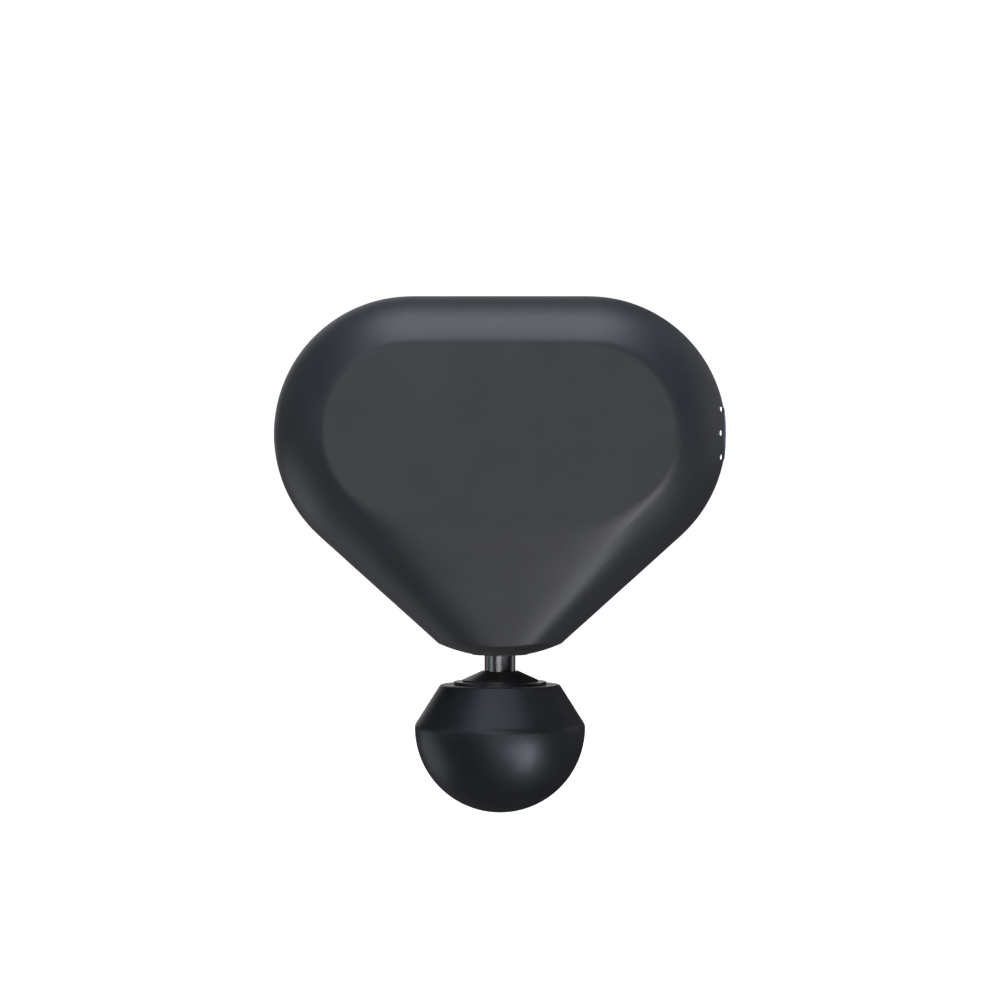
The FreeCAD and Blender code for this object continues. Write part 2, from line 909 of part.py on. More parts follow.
def retaining_ring():
    start = -roller_width / 2 - 0.7
    base = on_motor(start) + UP * crank_radius
    clip = ring(pin_radius + 1.0, pin_radius - clip_groove, clip_groove, base + BACK * 0.1, BACK)
    gap = block(base + point(-1.2, -1, 0), base + point(1.2, 2, 3 * pin_radius))
    return clip.cut(gap)


# ---- Yoke and output shaft ------------------------------------------------------------


def slot_half_height():
    return roller_radius + slot_slack


def slot_half_width():
    return crank_radius + roller_radius + slot_side_gap


def yoke_bottom_z():
    return motor_z + crank_radius - slot_half_height() - yoke_rim


def yoke():
    centre_z = motor_z + crank_radius
    half = yoke_thickness / 2
    high = slot_half_height() + yoke_rim
    wide = slot_half_width() + yoke_rim
    frame = block(point(-wide, -half, centre_z - high), point(wide, half, centre_z + high))
    corners = [edge for edge in frame.Edges if edge.BoundBox.YLength > half]
    frame = frame.makeFillet(yoke_rounding, corners)
    slot = block(
        point(-slot_half_width(), -yoke_thickness, centre_z - slot_half_height()),
        point(slot_half_width(), yoke_thickness, centre_z + slot_half_height()),
    )
    low = point(-stem_width / 2, -half, shaft_top_z - fork_depth)
    stem = block(low, point(stem_width / 2, half, yoke_bottom_z() + 1))
    return frame.cut(slot).fuse(stem).cut(cross_pin_hole())


def cross_pin_z():
    return shaft_top_z - fork_depth / 2


def cross_pin_hole():
    return rod(cross_pin_radius, 4 * shaft_radius, point(0, -2 * shaft_radius, cross_pin_z()), BACK)


def yoke_pin():
    length = 2 * (shaft_radius - cross_pin_inset)
    return rod(cross_pin_radius, length, point(0, -length / 2, cross_pin_z()), BACK)


def output_shaft():
    shaft = rod(shaft_radius, shaft_top_z - shaft_end_z, point(0, 0, shaft_end_z), UP)
    tip = [edge for edge in shaft.Edges if edge.BoundBox.ZMax < shaft_end_z + 0.1]
    shaft = shaft.makeChamfer(shaft_chamfer, tip)
    half = yoke_thickness / 2
    low = point(-stem_width / 2, -half, shaft_top_z - fork_depth)
    fork = block(low, point(stem_width / 2, half, shaft_top_z + 1))
    groove_base = point(0, 0, detent_z() - detent_half_width)
    floor_radius = shaft_radius - detent_groove
    groove = ring(shaft_radius + 1, floor_radius, 2 * detent_half_width, groove_base, UP)
    return shaft.cut(fork).cut(cross_pin_hole()).cut(groove)


def detent_z():
    return shaft_end_z + detent_height


def detent_ring():
    centre = point(0, 0, detent_z())
    loop = Part.makeTorus(shaft_radius - detent_radius, detent_radius, centre, UP)
    floor_radius = shaft_radius - detent_groove + fit_gap
    floor = rod(floor_radius, 4 * detent_radius, centre - UP * 2 * detent_radius, UP)
    return loop.cut(floor)


def bush_seats():
    """Lower ends of the two bush seats, open downwards and upwards."""
    return [guide_end_z, guide_top_z + bridge_thickness - bush_length - bush_recess]


def shaft_bushes():
    bore = shaft_radius + running_gap
    low_z, high_z = bush_seats()
    radius = bush_radius - fit_gap
    low = ring(radius, bore, bush_length, point(0, 0, low_z + bush_recess), UP)
    high = ring(radius, bore, bush_length, point(0, 0, high_z), UP)
    return [low, high]


# ---- Chassis --------------------------------------------------------------------------


def chassis():
    plate = block(
        point(-plate_half_width, plate_y, plate_bottom_z),
        point(plate_half_width, plate_y + plate_thickness, plate_top_z),
    )
    for x, z in chassis_ears():
        inner_x = math.copysign(plate_half_width - 1, x)
        low = point(min(inner_x, x), plate_y, z - ear_radius)
        high = point(max(inner_x, x), plate_y + plate_thickness, z + ear_radius)
        ear = rod(ear_radius, plate_thickness, point(x, plate_y, z), BACK)
        plate = plate.fuse(block(low, high)).fuse(ear)
    web_top_z = motor_z - bell_radius - web_clearance
    web_low = point(-bridge_half_width, bridge_back_y - web_thickness, guide_top_z)
    web = block(web_low, point(bridge_half_width, bridge_back_y, web_top_z))
    step_low = point(-bridge_half_width, bridge_back_y - web_thickness, plate_bottom_z)
    step = block(step_low, point(bridge_half_width, plate_y + plate_thickness, web_top_z))
    bridge_low = point(-bridge_half_width, -guide_radius, guide_top_z)
    bridge_high = point(bridge_half_width, bridge_back_y, guide_top_z + bridge_thickness)
    bridge = block(bridge_low, bridge_high)
    sleeve = rod(guide_radius, guide_top_z - guide_end_z, point(0, 0, guide_end_z), UP)
    body = plate.fuse(step).fuse(web).fuse(bridge).fuse(sleeve)
    total = guide_top_z + bridge_thickness - guide_end_z
    body = body.cut(rod(shaft_radius + guide_clearance, total + 2, point(0, 0, guide_end_z - 1), UP))
    for z in bush_seats():
        body = body.cut(rod(bush_radius, bush_length + bush_recess, point(0, 0, z), UP))
    rear_bore = bearing_radius - bearing_lip
    body = body.cut(rod(rear_bore, 3 * plate_thickness, on_motor(plate_y - 1), BACK))
    for spot in motor_screw_spots():
        body = body.cut(rod(screw_radius + fit_gap, 3 * plate_thickness, spot, BACK))
    for x, z in chassis_ears():
        body = body.cut(rod(screw_head_radius, 3 * plate_thickness, point(x, plate_y - 1, z), BACK))
    return body.removeSplitter()


def chassis_pads():
    pads = []
    back = plate_y + plate_thickness
    for x, z in chassis_ears():
        front_flange = rod(pad_radius, pad_thickness, point(x, plate_y - pad_thickness, z), BACK)
        back_flange = rod(pad_radius, pad_thickness, point(x, back, z), BACK)
        neck = rod(screw_head_radius - fit_gap, plate_thickness, point(x, plate_y, z), BACK)
        pad = front_flange.fuse(neck).fuse(back_flange)
        base = point(x, plate_y - plate_thickness, z)
        pads.append(pad.cut(rod(screw_radius + fit_gap, 3 * plate_thickness, base, BACK)))
    return pads


def chassis_screws():
    seat_y = plate_y - pad_thickness
    length = half_depth - wall / 2 - seat_y - 0.3
    return [screw(point(x, seat_y, z), length, BACK) for x, z in chassis_ears()]


def motor_screws():
    length = plate_thickness + flange_thickness
    return [screw(spot + BACK * length, length, -BACK) for spot in motor_screw_spots()]


# ---- Battery --------------------------------------------------------------------------


def cell_ys():
    return [-cell_spacing / 2, cell_spacing / 2]


def battery_cells():
    cells = []
    for y, side in zip(cell_ys(), (-1, 1)):
        body_length = cell_length - cell_nub_height
        body = rod(cell_radius, body_length, point(-cell_length / 2, y, cell_z), RIGHT)
        edges = [edge for edge in body.Edges if edge.BoundBox.XLength < 0.1]
        body = body.makeFillet(cell_rounding, edges)
        nub_base = point(cell_length / 2 - cell_nub_height, y, cell_z)
        nub = rod(cell_nub_radius, cell_nub_height, nub_base, RIGHT)
        cell = body.fuse(nub)
        if side > 0:
            cell.rotate(point(0, y, cell_z), UP, 180)
        cells.append(cell)
    return cells


def battery_tray():
    end = cell_length / 2 + tray_margin
    depth = half_depth - wall
    foot = block(
        point(-end, -depth, tray_bottom_z),
        point(end, depth, tray_bottom_z + tray_foot),
    )
    half = cell_spacing / 2 + cell_radius
    cradle = block(point(-end, -half, tray_bottom_z), point(end, half, cell_z - 2.0))
    tray = foot.fuse(cradle)
    for y in cell_ys():
        base = point(-cell_length, y, cell_z)
        tray = tray.cut(rod(cell_radius + fit_gap, 2 * cell_length, base, RIGHT))
    return tray.removeSplitter()


def battery_tabs():
    """The series link on the left and the two terminals on the right."""
    half_width = tab_half_width
    end = cell_length / 2
    front_y, back_y = cell_ys()
    low_z = cell_z - half_width
    link = block(
        point(-end - tab_thickness, front_y - half_width, cell_z - link_drop),
        point(-end, back_y + half_width, cell_z + half_width),
    )
    tabs = [link]
    for y in cell_ys():
        low = point(end, y - half_width, low_z)
        tabs.append(block(low, point(end + tab_thickness, y + half_width, cell_z + half_width)))
    return tabs


# ---- Main board and wiring ------------------------------------------------------------


def main_board():
    low = point(-board_half_width, board_y, board_bottom_z)
    board = block(low, point(board_half_width, board_y + board_thickness, board_top_z))
    for x, z in board_boss_spots():
        hole = rod(screw_radius + fit_gap, 3 * board_thickness, point(x, board_y - 1, z), BACK)
        board = board.cut(hole)
    return board


def on_board(x, z, width, height, depth):
    """A component on the front of the main board, centred at x and z."""
    low = point(x - width / 2, board_y - depth, z - height / 2)
    return block(low, point(x + width / 2, board_y, z + height / 2))


def board_parts():
    middle = (board_top_z + board_bottom_z) / 2
    parts = [on_board(0, middle, 8.0, 8.0, 1.0)]
    for index in range(3):
        x = (index - 1) * 9.0
        parts.append(on_board(x, middle - 12.0, 5.0, 6.0, 1.2))
    for side in (-1, 1):
        base = point(side * 8.0, board_y, middle + 11.0)
        parts.append(rod(3.0, 5.5, base, -BACK))
    parts.append(on_board(-15.0, middle, 6.0, 9.0, 2.6))
    parts.append(on_board(15.0, middle, 4.0, 10.0, 3.2))
    return parts


def board_screws():
    seat_y = board_y + board_thickness
    length = board_thickness + 2 * wall - 0.5
    return [screw(point(x, seat_y, z), length, -BACK) for x, z in board_boss_spots()]


def board_back_y():
    return board_y + board_thickness


def battery_leads():
    leads = []
    outer_x = cell_length / 2 + tray_margin
    lift_y = board_back_y() + wire_lift
    end_x = board_half_width - wire_lift
    for index, y in enumerate(cell_ys()):
        start_z = cell_z + index
        low_z = battery_wire_z - index * battery_wire_pitch
        path = [
            point(cell_length / 2 + tab_thickness, y, start_z),
            point(outer_x + battery_wire_bend, y, start_z),
            point(outer_x + battery_wire_bend, y, tray_bottom_z + battery_wire_z),
            point(board_half_width + 2 * battery_wire_bend, lift_y, low_z),
            point(end_x, lift_y, low_z),
            point(end_x, board_back_y(), low_z),
        ]
        leads.append(cable(path, battery_wire_radius, battery_wire_bend - 1))
    return leads


def lead_window():
    """A notch in the motor plate through which the motor leads leave."""
    low_x = stator_radius() - window_inset
    high_x = bell_radius + window_reach
    high_y = plate_y + 3 * plate_thickness
    low = point(low_x, plate_y - 1, motor_z - window_low)
    return block(low, point(high_x, high_y, motor_z - window_high))


def motor_leads():
    leads = []
    start_x = stator_radius() - motor_wire_inset
    start_y = stator_y() + stator_thickness + coil_overhang
    out_y = plate_y + plate_thickness / 2
    side_x = bell_radius + wire_lift
    lift_y = board_back_y() + wire_lift
    end_x = board_half_width - 2 * motor_wire_inset
    for index in range(3):
        z = motor_z - motor_wire_drop + index * motor_wire_pitch
        path = [
            point(start_x, start_y, z),
            point(start_x, out_y, z),
            point(side_x, out_y, z),
            point(side_x, lift_y, z),
            point(end_x, lift_y, z),
            point(end_x, board_back_y(), z),
        ]
        leads.append(cable(path, motor_wire_radius, 1.0))
    return leads


def button_wires():
    """Wires that stay level past the housing boss before they drop to the board."""
    wires = []
    clear_x = side_boss_x - boss_radius - button_wire_clearance
    lift_y = board_back_y() + button_wire_clearance
    board_x = board_half_width - button_wire_clearance
    for index in range(4):
        z = button_wire_z - index * button_wire_pitch
        low_z = z - button_wire_drop
        path = [
            point(button_board_x - board_thickness, button_wire_y, z),
            point(clear_x, button_wire_y, z),
            point(board_half_width + 3 * button_wire_clearance, lift_y, low_z),
            point(board_x, lift_y, low_z),
            point(board_x, board_back_y(), low_z),
        ]
        wires.append(cable(path, button_wire_radius, 1.2))
    return wires


def charge_wires():
    wires = []
    start_x = charge_board_x() + board_thickness
    start_y = port_y - wire_lift
    lift_y = board_back_y() + wire_lift
    end_x = wire_lift - board_half_width
    for index in range(2):
        z = port_z - charge_wire_drop - index * charge_wire_pitch
        path = [
            point(start_x, start_y, z),
            point(charge_board_x() + charge_wire_run, start_y, z),
            point(-board_half_width - wire_lift, lift_y, z),
            point(end_x, lift_y, z),
            point(end_x, board_back_y(), z),
        ]
        wires.append(cable(path, charge_wire_radius, 1.5))
    return wires


# ---- Attachment -----------------------------------------------------------------------


def attachment_hub():
    bore = shaft_radius + running_gap
    bore_end = shaft_end_z - 0.3
    cone_end = hub_top_z - hub_cone_height
    return revolved([
        (bore, hub_top_z),
        (shaft_radius + hub_neck_wall, hub_top_z),
        (hub_cone_radius, cone_end),
        (hub_cone_radius, ring_top_z),
        (hub_ring_radius, ring_top_z),
        (hub_ring_radius, ball_top_z),
        (hub_stem_radius, ball_top_z),
        (hub_stem_radius, hub_stem_end_z),
        (0, hub_stem_end_z),
        (0, bore_end),
        (bore, bore_end),
    ])


def ball_head():
    slope = (ball_shoulder_radius - ball_rim_radius) / (ball_top_z - ball_shoulder_z)
    height = ball_top_z - ball_centre_z
    low_radius = ball_rim_radius + slope * height
    centre = point(0, 0, ball_centre_z)
    cone = Part.makeCone(low_radius, ball_rim_radius, height, centre, UP)
    below = rod(low_radius, 2 * ball_radius, centre, -UP)
    ball = Part.makeSphere(ball_radius, centre).common(cone.fuse(below))
    top = [edge for edge in ball.Edges if edge.BoundBox.ZMin > ball_top_z - 0.1]
    ball = ball.makeFillet(ball_top_rounding, top)
    shoulder = []
    for edge in ball.Edges:
        box = edge.BoundBox
        if box.ZLength < 0.01 and ball_centre_z < box.ZMin < ball_shoulder_z + 1:
            shoulder.append(edge)
    ball = ball.makeFillet(ball_shoulder_rounding, shoulder)
    socket = rod(hub_stem_radius + fit_gap, height * 4, point(0, 0, hub_stem_end_z), UP)
    return ball.cut(socket)


# ---- Assembly -------------------------------------------------------------------------


def save_bearings():
    outer_rings, inner_rings, ball_sets = [], [], []
    outer = bearing_radius - fit_gap
    inner = spindle_radius + fit_gap
    for y in bearing_ys():
        races = bearing_races(on_motor(y), outer, inner, bearing_width, bearing_ball_count)
        outer_rings.append(races[0])
        inner_rings.append(races[1])
        ball_sets.append(races[2])
    save("motor_bearing_outer_rings", Part.makeCompound(outer_rings))
    save("motor_bearing_inner_rings", Part.makeCompound(inner_rings))
    save("motor_bearing_balls", Part.makeCompound(ball_sets))
    start = on_motor(-roller_width / 2) + UP * crank_radius
    inner = pin_radius + fit_gap
    races = bearing_races(start, roller_radius, inner, roller_width, roller_ball_count)
    save("crank_roller_ring", races[0])
    save("crank_roller_inner_ring", races[1])
    save("crank_roller_balls", races[2])


def save_groups():
    groups = {
        "housing_screws": housing_screws(),
        "status_lenses": light_lenses(),
        "magnets": magnets(),
        "windings": windings(),
        "motor_screws": motor_screws(),
        "shaft_bushes": shaft_bushes(),
        "chassis_pads": chassis_pads(),
        "chassis_screws": chassis_screws(),
        "battery_cells": battery_cells(),
        "battery_tabs": battery_tabs(),
        "board_parts": board_parts(),
        "board_screws": board_screws(),
        "battery_leads": battery_leads(),
        "motor_leads": motor_leads(),
        "button_wires": button_wires(),
        "charge_wires": charge_wires(),
    }
    for node, shapes in groups.items():
        save(node, Part.makeCompound(shapes))


def save_singles():
    outer = outer_half()
    inner = inner_half()
    save("front_shell", front_shell(outer, inner))
    save("rear_shell", rear_shell(outer, inner))
    save("nose_collar", nose_collar())
    save("wiper_seal", wiper_seal())
    save("light_ring", light_ring())
    save("power_button", power_button())
    save("switch_plunger", switch_plunger())
    save("tact_switch", tact_switch())
    save("button_board", button_board())
    save("vent_screen", vent_screen())
    save("charge_port", charge_port())
    save("charge_tongue", charge_tongue())
    save("charge_board", charge_board())
    save("rotor_bell", rotor_bell())
    save("stator_core", stator_core())
    save("motor_mount", motor_mount())
    save("motor_spindle", motor_spindle())
    save("counterweight", counterweight())
    save("crank_pin", crank_pin())
    save("retaining_ring", retaining_ring())
    save("yoke", yoke())
    save("yoke_pin", yoke_pin())
    save("output_shaft", output_shaft())
    save("detent_ring", detent_ring())
    save("chassis", chassis().cut(lead_window()))
    save("battery_tray", battery_tray())
    save("main_board", main_board())
    save("attachment_hub", attachment_hub())
    save("ball_head", ball_head())


save_singles()
save_bearings()
save_groups()
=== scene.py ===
import json
import math

import bpy
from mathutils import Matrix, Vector

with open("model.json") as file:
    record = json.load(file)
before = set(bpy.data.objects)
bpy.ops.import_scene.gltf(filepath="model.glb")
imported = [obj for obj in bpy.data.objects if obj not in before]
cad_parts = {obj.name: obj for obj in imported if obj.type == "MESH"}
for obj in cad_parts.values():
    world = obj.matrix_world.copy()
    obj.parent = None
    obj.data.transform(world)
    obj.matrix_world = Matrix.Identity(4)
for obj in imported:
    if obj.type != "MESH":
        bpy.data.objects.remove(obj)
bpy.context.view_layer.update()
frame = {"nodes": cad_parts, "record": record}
MM = 0.001

# Camera and paper floor, in metres unless the name says otherwise
CAMERA_DISTANCE = 0.786
CAMERA_HEIGHT = -0.0187
CAMERA_LENS_MM = 100
CAMERA_SENSOR_MM = 36
CAMERA_NEAREST = 0.05
FLOOR_HEIGHT = -0.165
FLOOR_HALF = 4.0
RISE_START = 1.6
RISE_RADIUS = 0.9
RISE_TOP = 3.0
RISE_STEPS = 16

# The lamps' aim, in metres, and the strengths of the backdrop and of the room's own light
AIM = (0.0, 0.0, -0.02)
BACKDROP_STRENGTH = 1.0
ROOM_STRENGTH = 0.01

# The part of a noise's range that holds most of its values
NOISE_LOW = 0.3
NOISE_HIGH = 0.7

# How far a patchy surface's roughness wanders below and above its own value
ROUGH_BELOW = 0.04
ROUGH_ABOVE = 0.05

# Half widths of the seam's dark middle and of the whole seam
SEAM_MIDDLE = 0.05 * MM
SEAM_EDGE = 0.16 * MM

# The upward part of a face's direction where the painted shade and the matt finish underneath start and
# where they are full
UNDERSIDE_START = -0.80
UNDERSIDE_FULL = -0.93
UNDERSIDE_ROUGHNESS = 0.85

# Places of a Mix node's sockets, which differ with the kind of value mixed
FACTOR = 0
FLOAT_A, FLOAT_B, FLOAT_RESULT = 2, 3, 0
COLOUR_A, COLOUR_B, COLOUR_RESULT = 6, 7, 2


# ---- Node helpers ---------------------------------------------------------------------


def node(tree, kind, values=None, **settings):
    made = tree.nodes.new(kind)
    for name, value in settings.items():
        setattr(made, name, value)
    for name, value in (values or {}).items():
        made.inputs[name].default_value = value
    return made


def link(tree, source, output, target, socket):
    tree.links.new(source.outputs[output], target.inputs[socket])


def link_place(tree, target):
    """Feeds a node the object's own coordinates, in metres."""
    link(tree, node(tree, "ShaderNodeTexCoord"), "Object", target, "Vector")


def noise(tree, grain, detail=3.0, rough=0.55):
    """Noise whose features are about grain metres across."""
    made = node(tree, "ShaderNodeTexNoise", {"Scale": 1 / grain, "Detail": detail, "Roughness": rough})
    link_place(tree, made)
    return made


def mapped(tree, source, output, limits, values, **settings):
    """An output carried from between two limits to between two values."""
    made = node(tree, "ShaderNodeMapRange", **settings)
    for socket, value in zip(("From Min", "From Max", "To Min", "To Max"), limits + values):
        made.inputs[socket].default_value = value
    link(tree, source, output, made, "Value")
    return made


def noise_range(tree, source, low, high):
    return mapped(tree, source, "Fac", (NOISE_LOW, NOISE_HIGH), (low, high))


def relief(tree, source, output, strength, depth, base=None, **settings):
    """A bump raised by an output, laid over the base node's normal where there is one."""
    made = node(tree, "ShaderNodeBump", {"Strength": strength, "Distance": depth}, **settings)
    link(tree, source, output, made, "Height")
    if base:
        link(tree, base, "Normal", made, "Normal")
    return made


def scaled(colour, factor):
    return tuple(min(c * factor, 1.0) for c in colour) + (1.0,)


def tint(tree, source, colour, spread):
    """A colour that wanders by the spread round its middle value."""
    mix = node(tree, "ShaderNodeMix", data_type="RGBA")
    link(tree, noise_range(tree, source, 0.0, 1.0), "Result", mix, FACTOR)
    mix.inputs[COLOUR_A].default_value = scaled(colour, 1 - spread)
    mix.inputs[COLOUR_B].default_value = scaled(colour, 1 + spread)
    return mix


def covered(tree, mask, base, colour):
    """The base mix's colour, with another colour over it where the mask is 1."""
    mix = node(tree, "ShaderNodeMix", data_type="RGBA")
    link(tree, mask, "Result", mix, FACTOR)
    link(tree, base, COLOUR_RESULT, mix, COLOUR_A)
    mix.inputs[COLOUR_B].default_value = colour
    return mix


def shader_of(material):
    return material.node_tree.nodes["Principled BSDF"]


def new_material(name):
    made = bpy.data.materials.new(name)
    made.use_nodes = True
    return made, made.node_tree, shader_of(made)


def patchy_surface(name, colour, metallic=0.0, rough=0.5, spread=0.08, patch=6 * MM):
    """A surface with patchy tone and uneven gloss, but no relief."""
    made, tree, shader = new_material(name)
    wide = noise(tree, patch)
    link(tree, tint(tree, wide, colour, spread), COLOUR_RESULT, shader, "Base Color")
    gloss = noise_range(tree, wide, rough - ROUGH_BELOW, rough + ROUGH_ABOVE)
    link(tree, gloss, "Result", shader, "Roughness")
    shader.inputs["Metallic"].default_value = metallic
    return made, tree, shader


def surface(name, colour, grain=0.3 * MM, bump=0.15, depth=0.02 * MM, **look):
    """A moulded, cast or ground surface: a patchy one with a fine grain."""
    made, tree, shader = patchy_surface(name, colour, **look)
    fine = noise(tree, grain, detail=4.0)
    link(tree, relief(tree, fine, "Fac", bump, depth), "Normal", shader, "Normal")
    return made


# ---- Materials ------------------------------------------------------------------------


def parting_line(tree):
    """1 on the seam between the housing halves, 0 elsewhere."""
    axes = node(tree, "ShaderNodeSeparateXYZ")
    link_place(tree, axes)
    away = node(tree, "ShaderNodeMath", operation="ABSOLUTE")
    link(tree, axes, "Y", away, "Value")
    limits = (SEAM_MIDDLE, SEAM_EDGE)
    return mapped(tree, away, "Value", limits, (1.0, 0.0), interpolation_type="SMOOTHSTEP")


def underside(tree):
    """1 on faces that point down, such as the end of the nose, 0 elsewhere: where painted shade and a matt
    finish go.
    """
    shape = node(tree, "ShaderNodeNewGeometry")
    axes = node(tree, "ShaderNodeSeparateXYZ")
    link(tree, shape, "Normal", axes, "Vector")
    limits = (UNDERSIDE_START, UNDERSIDE_FULL)
    return mapped(tree, axes, "Z", limits, (0.0, 1.0), interpolation_type="SMOOTHSTEP")


def housing_gloss(tree, speck, under):
    """Satin, and matt on the underside."""
    mix = node(tree, "ShaderNodeMix", data_type="FLOAT")
    link(tree, under, "Result", mix, FACTOR)
    link(tree, noise_range(tree, speck, 0.40, 0.52), "Result", mix, FLOAT_A)
    mix.inputs[FLOAT_B].default_value = UNDERSIDE_ROUGHNESS
    return mix


def housing_material():
    """Soft-touch coating: dark and fine-grained, with painted shade and a matt finish on faces that point
    down, a seam and rounded rims.
    """
    made, tree, shader = new_material("soft_touch_housing")
    wide = noise(tree, 14 * MM)
    speck = noise(tree, 0.22 * MM, detail=5.0, rough=0.65)
    seam = parting_line(tree)
    under = underside(tree)
    tone = tint(tree, wide, (0.030, 0.032, 0.040), 0.10)
    seamed = covered(tree, seam, tone, (0.004, 0.004, 0.005, 1.0))
    # Painted shade: faces that point down are darkened to near black, as if no light reached them from
    # below.
    painted_underside_shade = covered(tree, under, seamed, (0.002, 0.002, 0.003, 1.0))
    link(tree, painted_underside_shade, COLOUR_RESULT, shader, "Base Color")
    link(tree, housing_gloss(tree, speck, under), FLOAT_RESULT, shader, "Roughness")
    rounded = node(tree, "ShaderNodeBevel", {"Radius": 0.9 * MM}, samples=6)
    grain = relief(tree, speck, "Fac", 0.22, 0.012 * MM, rounded)
    groove = relief(tree, seam, "Result", 0.6, 0.10 * MM, grain, invert=True)
    link(tree, groove, "Normal", shader, "Normal")
    shader.inputs["Sheen Weight"].default_value = 0.10
    shader.inputs["Sheen Roughness"].default_value = 0.5
    return made


def ball_material():
    """Firm moulded foam with a closed, faintly pitted skin."""
    made, tree, shader = new_material("moulded_foam_ball")
    wide = noise(tree, 9 * MM)
    link(tree, tint(tree, wide, (0.015, 0.016, 0.020), 0.14), COLOUR_RESULT, shader, "Base Color")
    link(tree, noise_range(tree, wide, 0.38, 0.46), "Result", shader, "Roughness")
    fine = noise(tree, 0.35 * MM, detail=5.0, rough=0.7)
    link(tree, relief(tree, fine, "Fac", 0.25, 0.02 * MM), "Normal", shader, "Normal")
    shader.inputs["Sheen Weight"].default_value = 0.05
    shader.inputs["Specular Tint"].default_value = (0.86, 0.90, 1.0, 1.0)
    return made


def glow(name, colour, light, strength):
    """Frosted plastic that shines by itself."""
    made = surface(name, colour, rough=0.35, spread=0.05, patch=1.5 * MM, grain=0.2 * MM)
    shader = shader_of(made)
    shader.inputs["Emission Color"].default_value = light + (1.0,)
    shader.inputs["Emission Strength"].default_value = strength
    return made


def button_material():
    """Dark glossy plastic under a clear lacquer."""
    made = surface("button_gloss", (0.008, 0.011, 0.028), rough=0.12, spread=0.15, grain=1.2 * MM,
                   bump=0.03)
    shader = shader_of(made)
    shader.inputs["Coat Weight"].default_value = 0.6
    shader.inputs["Coat Roughness"].default_value = 0.06
    return made


def insulation(name, colour, rough=0.45):
    return surface(name, colour, rough=rough, grain=0.6 * MM, bump=0.1)


def shaft_material():
    """Polished steel with fine turning marks round the stroke axis."""
    made, tree, shader = patchy_surface("polished_shaft", (0.50, 0.51, 0.54), metallic=1.0, rough=0.24,
                                        spread=0.05, patch=14 * MM)
    stretch = node(tree, "ShaderNodeMapping")
    stretch.inputs["Scale"].default_value = (0.02, 0.02, 1.0)
    link_place(tree, stretch)
    marks = node(tree, "ShaderNodeTexNoise", {"Scale": 1 / (0.12 * MM), "Detail": 2.0})
    link(tree, stretch, "Vector", marks, "Vector")
    link(tree, relief(tree, marks, "Fac", 0.02, 0.002 * MM), "Normal", shader, "Normal")
    return made


def ridged_metal(name, colour, rough, spread, wave, axis, bump, depth):
    """Metal with ridges that follow each other along an axis."""
    made, tree, shader = patchy_surface(name, colour, metallic=0.9, rough=rough, spread=spread)
    ridges = node(tree, "ShaderNodeTexWave", wave, bands_direction=axis)
    link_place(tree, ridges)
    link(tree, relief(tree, ridges, "Fac", bump, depth), "Normal", shader, "Normal")
    return made


def laminated_material():
    """Stacked sheets seen on edge."""
    wave = {"Scale": 1 / (2.2 * MM)}
    return ridged_metal("stator_sheets", (0.28, 0.29, 0.31), rough=0.42, spread=0.15, wave=wave,
                        axis="Y", bump=0.5, depth=0.05 * MM)


def wound_material():
    """Enamelled wire laid side by side."""
    wave = {"Scale": 1 / (2.4 * MM), "Distortion": 0.6}
    return ridged_metal("copper_turns", (0.62, 0.24, 0.09), rough=0.28, spread=0.12, wave=wave,
                        axis="X", bump=0.9, depth=0.15 * MM)


FINISHES = {
    "shell": housing_material(),
    "ball": ball_material(),
    "hub": surface("hub_plastic", (0.030, 0.030, 0.035), rough=0.36, grain=0.25 * MM, bump=0.2),
    "seal": surface("black_rubber", (0.012, 0.012, 0.013), rough=0.62, grain=0.2 * MM, bump=0.3),
    "light": glow("light_guide", (0.020, 0.045, 0.11), (0.18, 0.48, 1.0), 0.10),
    "lens": glow("status_lens", (0.85, 0.88, 0.92), (0.95, 0.98, 1.0), 1.6),
    "button": button_material(),
    "black_plastic": surface("black_plastic", (0.018, 0.018, 0.02), rough=0.48, bump=0.3),
    "board": surface("solder_mask", (0.010, 0.10, 0.045), rough=0.30, spread=0.12, patch=2.5 * MM),
    "chip": surface("chip_package", (0.02, 0.02, 0.022), rough=0.55, grain=0.12 * MM, bump=0.35),
    "steel": surface("ground_steel", (0.50, 0.51, 0.53), metallic=1.0, rough=0.30, spread=0.07),
    "shaft_steel": shaft_material(),
    "nickel": surface("nickel_strip", (0.62, 0.60, 0.56), metallic=1.0, rough=0.25, patch=3 * MM),
    "cast": surface("die_casting", (0.52, 0.53, 0.55), metallic=0.95, rough=0.48, grain=0.5 * MM, bump=0.4,
                    depth=0.05 * MM),
    "lamination": laminated_material(),
    "copper": wound_material(),
    "bronze": surface("sintered_bronze", (0.45, 0.30, 0.13), metallic=0.9, rough=0.50, grain=0.25 * MM,
                      bump=0.5),
    "magnet": surface("magnet_nickel", (0.40, 0.41, 0.43), metallic=1.0, rough=0.22),
    "cell": surface("cell_sleeve", (0.03, 0.14, 0.36), rough=0.26, spread=0.10, grain=2.5 * MM, bump=0.08),
    "screen": surface("dust_mesh", (0.02, 0.02, 0.02), rough=0.8, grain=0.3 * MM, bump=0.6),
    "wire": insulation("wire_insulation", (0.42, 0.03, 0.025), rough=0.42),
}
LEADS = {
    "button_wires": insulation("ribbon_insulation", (0.30, 0.30, 0.31)),
    "charge_wires": insulation("charge_insulation", (0.02, 0.02, 0.022)),
    "motor_leads": insulation("motor_insulation", (0.55, 0.36, 0.02)),
}

for part in frame["record"]["subparts"]:
    shown = frame["nodes"][part["node"]]
    finish = LEADS.get(part["node"], FINISHES[part["material_slot"]])
    for holder in shown.material_slots:
        holder.material = finish
    if not shown.material_slots:
        shown.data.materials.append(finish)


# ---- Floor, world and lights ----------------------------------------------------------


